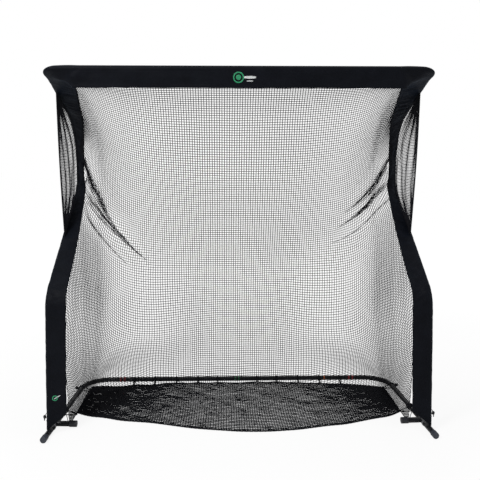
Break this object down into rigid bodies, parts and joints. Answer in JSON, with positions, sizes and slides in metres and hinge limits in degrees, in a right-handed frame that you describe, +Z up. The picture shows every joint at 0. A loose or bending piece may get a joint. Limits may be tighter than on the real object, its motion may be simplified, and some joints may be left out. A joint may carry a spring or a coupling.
{
  "type": "golf rebound net",
  "caption": "Free-standing golf net with a push-button tube frame, C-shaped sides, fabric sleeves, sloping mesh main net, side nets and floor return net.",
  "frame": {"origin": "on the floor, at the middle of the footprint", "axes": "+X to the player's right as they face the net, +Y from the player towards the rear bar, +Z up"},
  "size_m": [2.46, 1.0728, 2.286],
  "materials": {
    "frame_tube": "black powder coat, semi-gloss",
    "end_cap": "satin moulded",
    "spring_steel": "plain",
    "button_steel": "polished",
    "bands_red": "tape",
    "bands_green": "tape",
    "band_orange": "tape",
    "sleeve_cloth": "coated woven polyester",
    "net_mesh": "knotless polyester mesh",
    "cord": "braided cord",
    "toggle_plastic": "moulded",
    "webbing": "woven webbing",
    "badge": "heat-transfer print"
  },
  "bodies": {
    "frame": {"foot_left": "frame_tube", "foot_right": "frame_tube", "front_caps": "end_cap", "stub_caps": "end_cap", "base_corner_left": "frame_tube", "base_corner_right": "frame_tube", "rear_bar_left": "frame_tube", "rear_bar_right": "frame_tube", "lower_upright_left": "frame_tube", "lower_upright_right": "frame_tube", "upper_upright_left": "frame_tube", "upper_upright_right": "frame_tube", "top_corner_left": "frame_tube", "top_corner_right": "frame_tube", "top_bar_left": "frame_tube", "top_bar_right": "frame_tube", "spring_clips": "spring_steel", "bands_red": "bands_red", "bands_green": "bands_green", "band_orange": "band_orange", "top_sleeve": "sleeve_cloth", "side_sleeve_left": "sleeve_cloth", "side_sleeve_right": "sleeve_cloth", "main_net": "net_mesh", "side_net_left": "net_mesh", "side_net_right": "net_mesh", "floor_net": "net_mesh", "front_rope": "cord", "perimeter_cord": "cord", "hem_cords": "cord", "net_ties": "cord", "corner_bungees": "cord", "toggle_balls": "toggle_plastic", "sleeve_toggles": "toggle_plastic", "foot_straps": "webbing", "badge_top": "badge", "badge_side": "badge"},
    "button_side_left": {"button_side_left": "button_steel"},
    "button_side_right": {"button_side_right": "button_steel"},
    "button_rear_left": {"button_rear_left": "button_steel"},
    "button_rear_right": {"button_rear_right": "button_steel"},
    "button_rear_centre": {"button_rear_centre": "button_steel"},
    "button_leg_left": {"button_leg_left": "button_steel"},
    "button_leg_right": {"button_leg_right": "button_steel"},
    "button_diagonal_left": {"button_diagonal_left": "button_steel"},
    "button_diagonal_right": {"button_diagonal_right": "button_steel"},
    "button_arm_left": {"button_arm_left": "button_steel"},
    "button_arm_right": {"button_arm_right": "button_steel"},
    "button_top_left": {"button_top_left": "button_steel"},
    "button_top_right": {"button_top_right": "button_steel"},
    "button_top_centre": {"button_top_centre": "button_steel"}
  },
  "joints": [
    {"name": "press_side_left", "type": "slide", "parent": "frame", "child": "button_side_left", "axis": [0, 0, -1], "range_m": [0, 0.0065], "stiffness_N_per_m": 300},
    {"name": "press_side_right", "type": "slide", "parent": "frame", "child": "button_side_right", "axis": [0, 0, -1], "range_m": [0, 0.0065], "stiffness_N_per_m": 300},
    {"name": "press_rear_left", "type": "slide", "parent": "frame", "child": "button_rear_left", "axis": [0, 0, -1], "range_m": [0, 0.0065], "stiffness_N_per_m": 300},
    {"name": "press_rear_right", "type": "slide", "parent": "frame", "child": "button_rear_right", "axis": [0, 0, -1], "range_m": [0, 0.0065], "stiffness_N_per_m": 300},
    {"name": "press_rear_centre", "type": "slide", "parent": "frame", "child": "button_rear_centre", "axis": [0, 0, -1], "range_m": [0, 0.0065], "stiffness_N_per_m": 300},
    {"name": "press_leg_left", "type": "slide", "parent": "frame", "child": "button_leg_left", "axis": [1, 0, 0], "range_m": [0, 0.0065], "stiffness_N_per_m": 300},
    {"name": "press_leg_right", "type": "slide", "parent": "frame", "child": "button_leg_right", "axis": [-1, 0, 0], "range_m": [0, 0.0065], "stiffness_N_per_m": 300},
    {"name": "press_diagonal_left", "type": "slide", "parent": "frame", "child": "button_diagonal_left", "axis": [-1, 0, 0], "range_m": [0, 0.0065], "stiffness_N_per_m": 300},
    {"name": "press_diagonal_right", "type": "slide", "parent": "frame", "child": "button_diagonal_right", "axis": [1, 0, 0], "range_m": [0, 0.0065], "stiffness_N_per_m": 300},
    {"name": "press_arm_left", "type": "slide", "parent": "frame", "child": "button_arm_left", "axis": [-1, 0, 0], "range_m": [0, 0.0065], "stiffness_N_per_m": 300},
    {"name": "press_arm_right", "type": "slide", "parent": "frame", "child": "button_arm_right", "axis": [1, 0, 0], "range_m": [0, 0.0065], "stiffness_N_per_m": 300},
    {"name": "press_top_left", "type": "slide", "parent": "frame", "child": "button_top_left", "axis": [0, 0, 1], "range_m": [0, 0.0065], "stiffness_N_per_m": 300},
    {"name": "press_top_right", "type": "slide", "parent": "frame", "child": "button_top_right", "axis": [0, 0, 1], "range_m": [0, 0.0065], "stiffness_N_per_m": 300},
    {"name": "press_top_centre", "type": "slide", "parent": "frame", "child": "button_top_centre", "axis": [0, 0, 1], "range_m": [0, 0.0065], "stiffness_N_per_m": 300}
  ]
}
